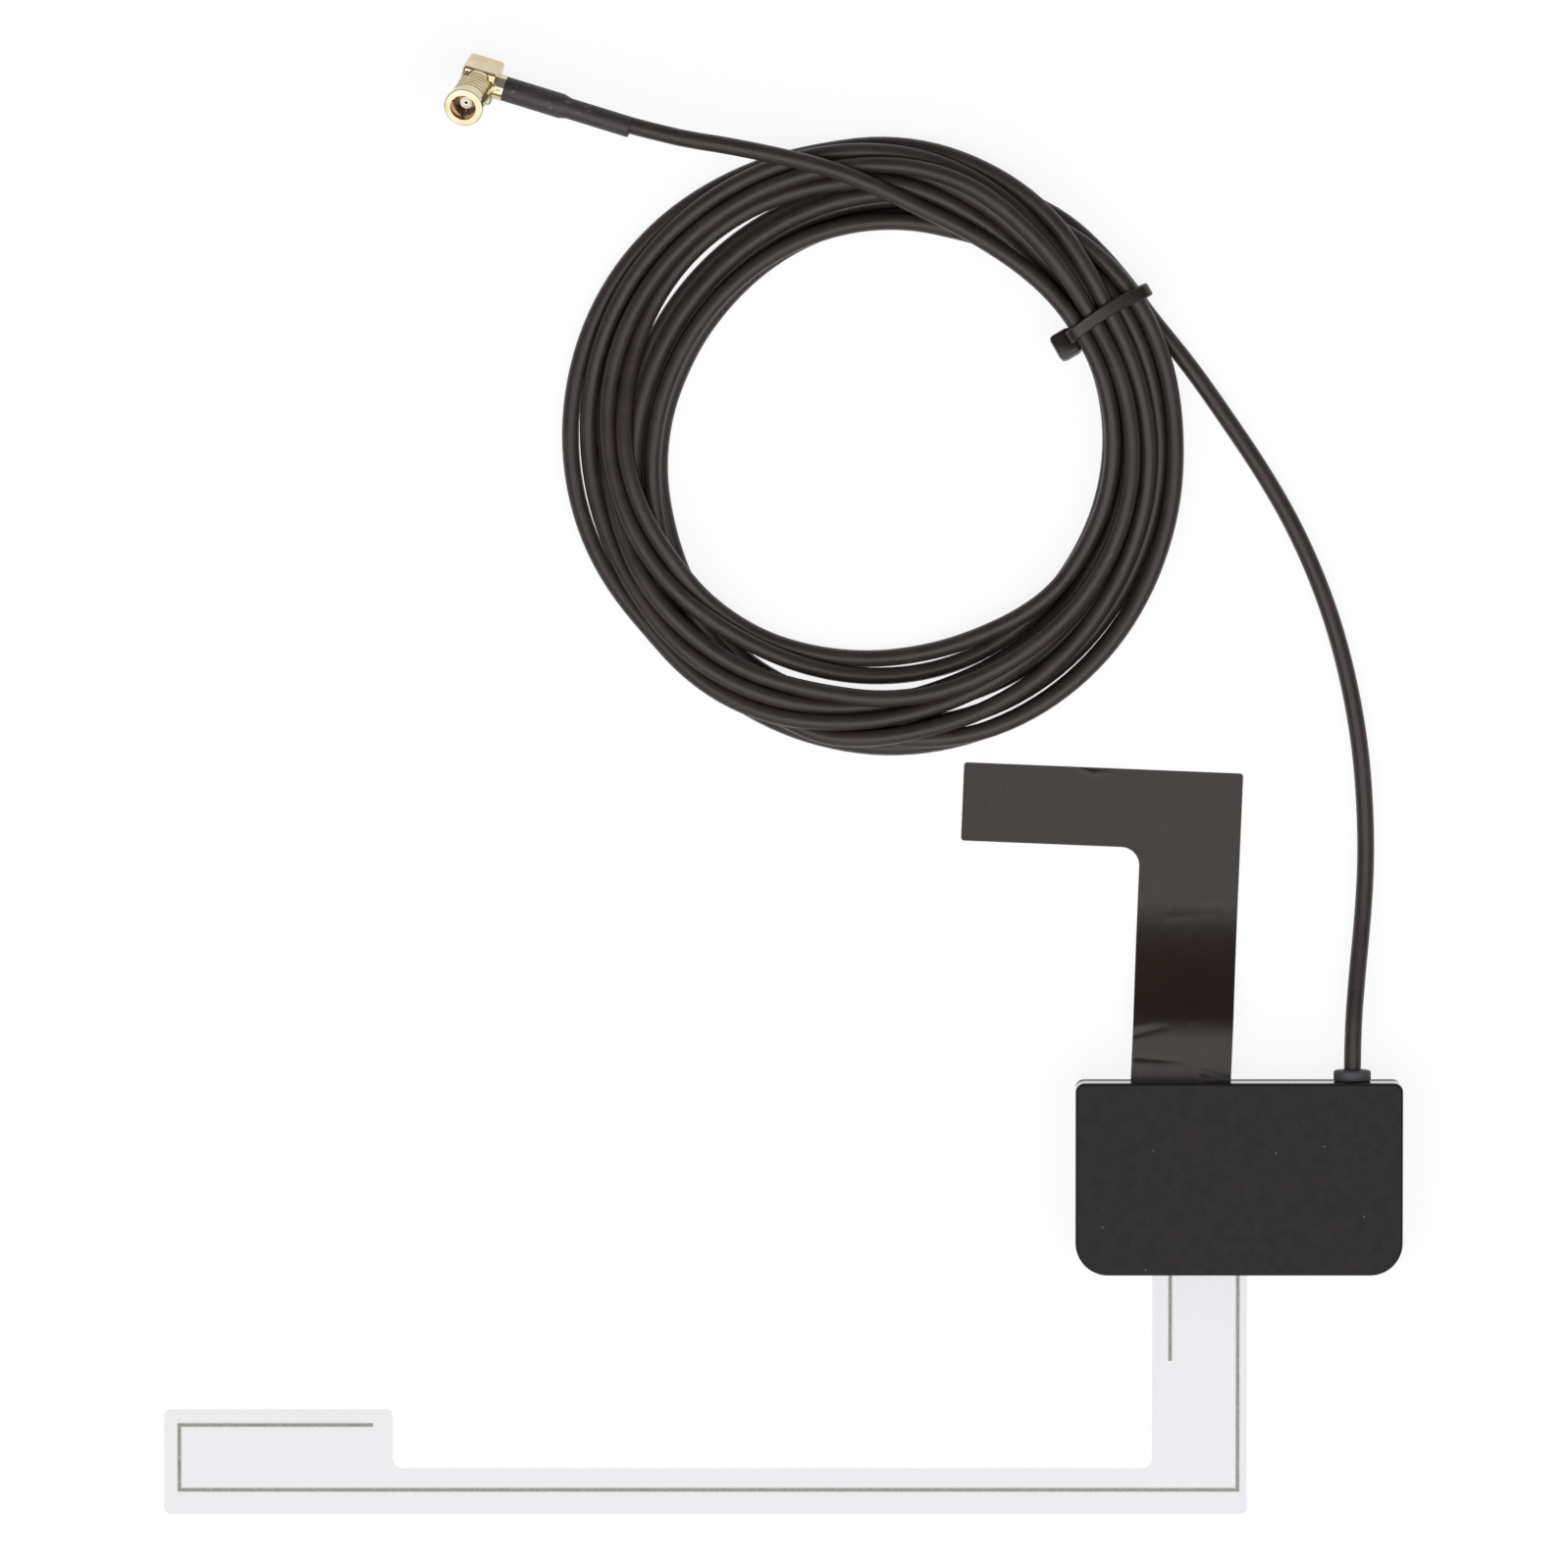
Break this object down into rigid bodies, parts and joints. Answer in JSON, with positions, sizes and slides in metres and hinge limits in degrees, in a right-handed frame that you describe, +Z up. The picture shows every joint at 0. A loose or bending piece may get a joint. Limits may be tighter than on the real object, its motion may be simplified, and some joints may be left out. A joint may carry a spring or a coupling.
{
  "type": "windscreen antenna",
  "caption": "Flat glass-mount radio antenna: clear film with a printed conductor, slim amplifier box, L-shaped ground foil and a tied coil of thin coax with a right-angle push-on plug.",
  "frame": {"origin": "middle of the amplifier housing's adhesive face, on the glass", "axes": "+Z up from the glass, +X along the film from its far tab to the housing, +Y from the film across the housing towards the cable"},
  "size_m": [0.1895, 0.2239, 0.0149],
  "materials": {
    "clear_film": "clear, smooth",
    "printed_silver": "screen-printed, matte",
    "adhesive_foam": "matte foam",
    "housing_plastic": "fine moulded grain",
    "board_laminate": "satin",
    "contact_bronze": "satin",
    "chip_epoxy": "matte",
    "choke_core": "matte",
    "chip_ceramic": "satin",
    "foil_laminate": "satin, creased",
    "gland_rubber": "satin",
    "coax_copper": "satin",
    "coax_dielectric": "satin",
    "cable_jacket": "satin",
    "tie_nylon": "satin",
    "shrink_tube": "satin",
    "gold_plate": "polished plate",
    "collet_bronze": "satin",
    "plug_insulator": "satin"
  },
  "bodies": {
    "root": {"antenna_film": "clear_film", "long_trace": "printed_silver", "short_trace": "printed_silver", "adhesive_pad": "adhesive_foam", "housing_base": "housing_plastic", "housing_cover": "housing_plastic", "circuit_board": "board_laminate", "long_trace_contact": "contact_bronze", "short_trace_contact": "contact_bronze", "amplifier_transistor": "chip_epoxy", "bias_choke": "choke_core", "chip_capacitors": "chip_ceramic", "chip_resistors": "chip_ceramic", "ground_foil": "foil_laminate", "cable_gland": "gland_rubber", "coax_braid": "coax_copper", "coax_dielectric": "coax_dielectric", "coax_conductor": "coax_copper", "cable_lead": "cable_jacket", "cable_coil": "cable_jacket", "cable_tail": "cable_jacket", "cable_tie": "tie_nylon", "heat_shrink_sleeve": "shrink_tube", "crimp_ferrule": "gold_plate", "plug_body": "gold_plate", "connector_cap": "gold_plate", "coupling_sleeve": "gold_plate", "contact_collet": "collet_bronze", "connector_insulator": "plug_insulator", "centre_contact": "gold_plate", "plug_braid": "coax_copper", "plug_dielectric": "coax_dielectric", "plug_conductor": "coax_copper"}
  },
  "joints": []
}
